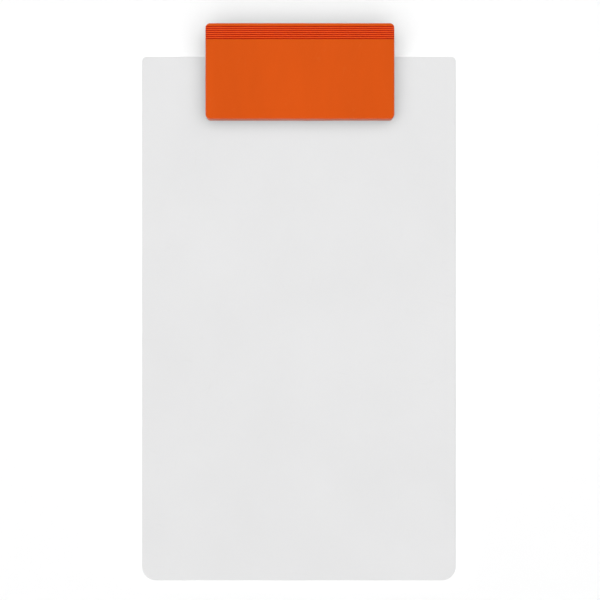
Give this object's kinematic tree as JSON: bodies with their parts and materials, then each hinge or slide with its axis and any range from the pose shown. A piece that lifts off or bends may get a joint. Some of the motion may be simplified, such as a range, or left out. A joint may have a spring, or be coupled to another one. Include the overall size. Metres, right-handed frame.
{
  "type": "clipboard",
  "caption": "Legal-size flat plastic board with a wide sprung pinch clip riveted across the middle of its top edge.",
  "frame": {"origin": "centre of the whole outline, on the surface that the clipboard lies on, which the back plate's outer face touches", "axes": "+Y up the board towards the clip, +Z out of the writing face, X across the board"},
  "size_m": [0.2286, 0.4032, 0.0195],
  "materials": {
    "board_plastic": "pale grey-white moulded sheet, satin",
    "clip_plastic": "orange moulded plastic, satin with a fine texture",
    "pin_steel": "drawn steel rod, zinc plated",
    "spring_steel": "spring steel wire, lightly oiled",
    "rivet_metal": "nickel plated, dulled"
  },
  "bodies": {
    "base": {"board": "board_plastic", "clip_back": "clip_plastic", "hinge_pin": "pin_steel", "pin_retainer": "spring_steel", "left_spring": "spring_steel", "right_spring": "spring_steel", "rivets": "rivet_metal", "rivet_washers": "rivet_metal"},
    "lever": {"clip_front": "clip_plastic"}
  },
  "joints": [
    {"name": "lever_hinge", "type": "hinge", "parent": "base", "child": "lever", "pos_m": [0, 0.18435, 0.0094], "axis": [-1, 0, 0], "range_deg": [0, 22], "stiffness_Nm_per_rad": 0.7, "springref_deg": -45.84, "deforming": ["left_spring", "right_spring"]}
  ]
}
